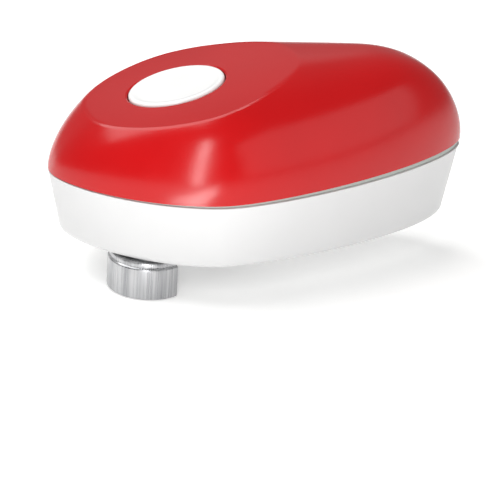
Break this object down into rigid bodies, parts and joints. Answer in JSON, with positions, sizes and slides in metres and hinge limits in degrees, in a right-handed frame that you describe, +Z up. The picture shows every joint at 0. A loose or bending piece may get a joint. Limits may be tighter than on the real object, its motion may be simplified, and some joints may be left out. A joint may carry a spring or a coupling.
{
  "type": "electric can opener",
  "caption": "Egg-shaped battery can opener: two-tone plastic body, slanted facet with an oval start button, geared feed wheel, swinging cutter wheel and a C-shaped steel guard.",
  "frame": {"origin": "on the flat underside that rests on a can's rim, on the body's centre plane, a little in front of the battery door", "axes": "+X along the body towards its tail, +Z up out of the underside, +Y to the side away from the cutter guard"},
  "size_m": [0.155, 0.094, 0.0768],
  "materials": {
    "red_shell": "satin-gloss red ABS",
    "white_shell": "glossy white ABS",
    "white_button": "glossy white ABS",
    "grey_trim": "matt grey-green plastic",
    "black_plastic": "matt black moulding",
    "red_plastic": "matt red plastic",
    "gear_plastic": "natural acetal",
    "gearbox_plastic": "light grey moulding",
    "circuit_board": "green solder mask",
    "bright_steel": "ground stainless steel",
    "guard_steel": "stainless steel brushed upright",
    "spring_steel": "nickel-plated spring steel",
    "dark_steel": "dark steel",
    "brass": "turned brass",
    "motor_can": "plated motor can",
    "magnet": "dull plated magnet",
    "cell_sleeve": "plain printed-free battery sleeve"
  },
  "bodies": {
    "housing": {"upper_housing": "red_shell", "lower_housing": "white_shell", "seam_trim_band": "grey_trim", "button_cup": "black_plastic", "button_return_spring": "spring_steel", "microswitch": "black_plastic", "control_board": "circuit_board", "motor": "motor_can", "motor_bracket": "bright_steel", "motor_screw_1": "dark_steel", "motor_screw_2": "dark_steel", "gear_axle_1": "dark_steel", "gear_axle_2": "dark_steel", "gear_axle_3": "dark_steel", "gearbox_base": "gearbox_plastic", "gearbox_cover": "gearbox_plastic", "gearbox_screw_1": "dark_steel", "gearbox_screw_2": "dark_steel", "drive_bushing": "brass", "cutter_pivot_pin": "dark_steel", "cutter_guard": "guard_steel", "guard_screw_1": "dark_steel", "guard_screw_2": "dark_steel", "magnet_holder": "black_plastic", "lid_magnet": "magnet", "battery_case": "black_plastic", "battery_cell_1": "cell_sleeve", "battery_cell_2": "cell_sleeve", "battery_cell_3": "cell_sleeve", "battery_cell_4": "cell_sleeve", "rear_bridge_lower": "spring_steel", "rear_bridge_upper": "spring_steel", "front_bridge": "spring_steel", "front_terminal_positive": "spring_steel", "front_terminal_negative": "spring_steel", "housing_screw_1": "dark_steel", "housing_screw_2": "dark_steel", "housing_screw_3": "dark_steel", "housing_screw_4": "dark_steel", "battery_lead_positive": "red_plastic", "battery_lead_negative": "black_plastic", "motor_lead_positive": "red_plastic", "motor_lead_negative": "black_plastic"},
    "button": {"start_button": "white_button"},
    "plunger": {"switch_plunger": "red_plastic"},
    "motor_rotor": {"motor_shaft": "dark_steel", "motor_pinion": "brass"},
    "gear_first": {"first_reduction_gear": "gear_plastic"},
    "gear_second": {"second_reduction_gear": "gear_plastic"},
    "gear_third": {"third_reduction_gear": "gear_plastic"},
    "drive": {"drive_gear": "gear_plastic", "drive_shaft": "dark_steel", "feed_wheel": "bright_steel", "feed_wheel_screw": "dark_steel"},
    "cutter_carrier": {"cutter_arm": "bright_steel", "cutter_axle": "dark_steel", "cutter_nut": "dark_steel"},
    "cutter": {"cutter_blade": "bright_steel"},
    "door": {"battery_door": "white_shell"}
  },
  "joints": [
    {"name": "button_press", "type": "slide", "parent": "housing", "child": "button", "axis": [0.265, 0, -0.9643], "range_m": [0, 0.0018], "stiffness_N_per_m": 800, "springref_m": -0.001, "deforming": ["button_return_spring"]},
    {"name": "switch_press", "type": "slide", "parent": "housing", "child": "plunger", "axis": [0, 0, -1], "range_m": [0, 0.0018]},
    {"name": "drive_spin", "type": "hinge", "parent": "housing", "child": "drive", "pos_m": [-0.02654, -0.01568, 0.01], "axis": [0, 0, 1], "continuous": true},
    {"name": "third_gear_spin", "type": "hinge", "parent": "housing", "child": "gear_third", "pos_m": [-0.0414, -0.00975, 0.015], "axis": [0, 0, 1], "continuous": true},
    {"name": "second_gear_spin", "type": "hinge", "parent": "housing", "child": "gear_second", "pos_m": [-0.03676, 0.00451, 0.013], "axis": [0, 0, 1], "continuous": true},
    {"name": "first_gear_spin", "type": "hinge", "parent": "housing", "child": "gear_first", "pos_m": [-0.02635, 0.01692, 0.01], "axis": [0, 0, 1], "continuous": true},
    {"name": "motor_spin", "type": "hinge", "parent": "housing", "child": "motor_rotor", "pos_m": [-0.0098, 0.014, 0.009], "axis": [0, 0, 1], "continuous": true},
    {"name": "cutter_swing", "type": "hinge", "parent": "housing", "child": "cutter_carrier", "pos_m": [-0.04645, -0.00539, 0.004], "axis": [0, 0, 1], "range_deg": [0, 15.4]},
    {"name": "cutter_blade_spin", "type": "hinge", "parent": "cutter_carrier", "child": "cutter", "pos_m": [-0.04221, -0.02201, -0.0041], "axis": [0, 0, 1], "continuous": true},
    {"name": "battery_door_hinge", "type": "hinge", "parent": "housing", "child": "door", "pos_m": [0.00645, 0, 0.00115], "axis": [0, 1, 0], "range_deg": [0, 95]}
  ],
  "couplings": [
    {"joint": "switch_press", "follows": "button_press", "ratio": 1},
    {"joint": "first_gear_spin", "follows": "motor_spin", "ratio": -0.23529},
    {"joint": "second_gear_spin", "follows": "motor_spin", "ratio": 0.067227},
    {"joint": "third_gear_spin", "follows": "motor_spin", "ratio": -0.019517},
    {"joint": "drive_spin", "follows": "motor_spin", "ratio": 0.0065058}
  ]
}
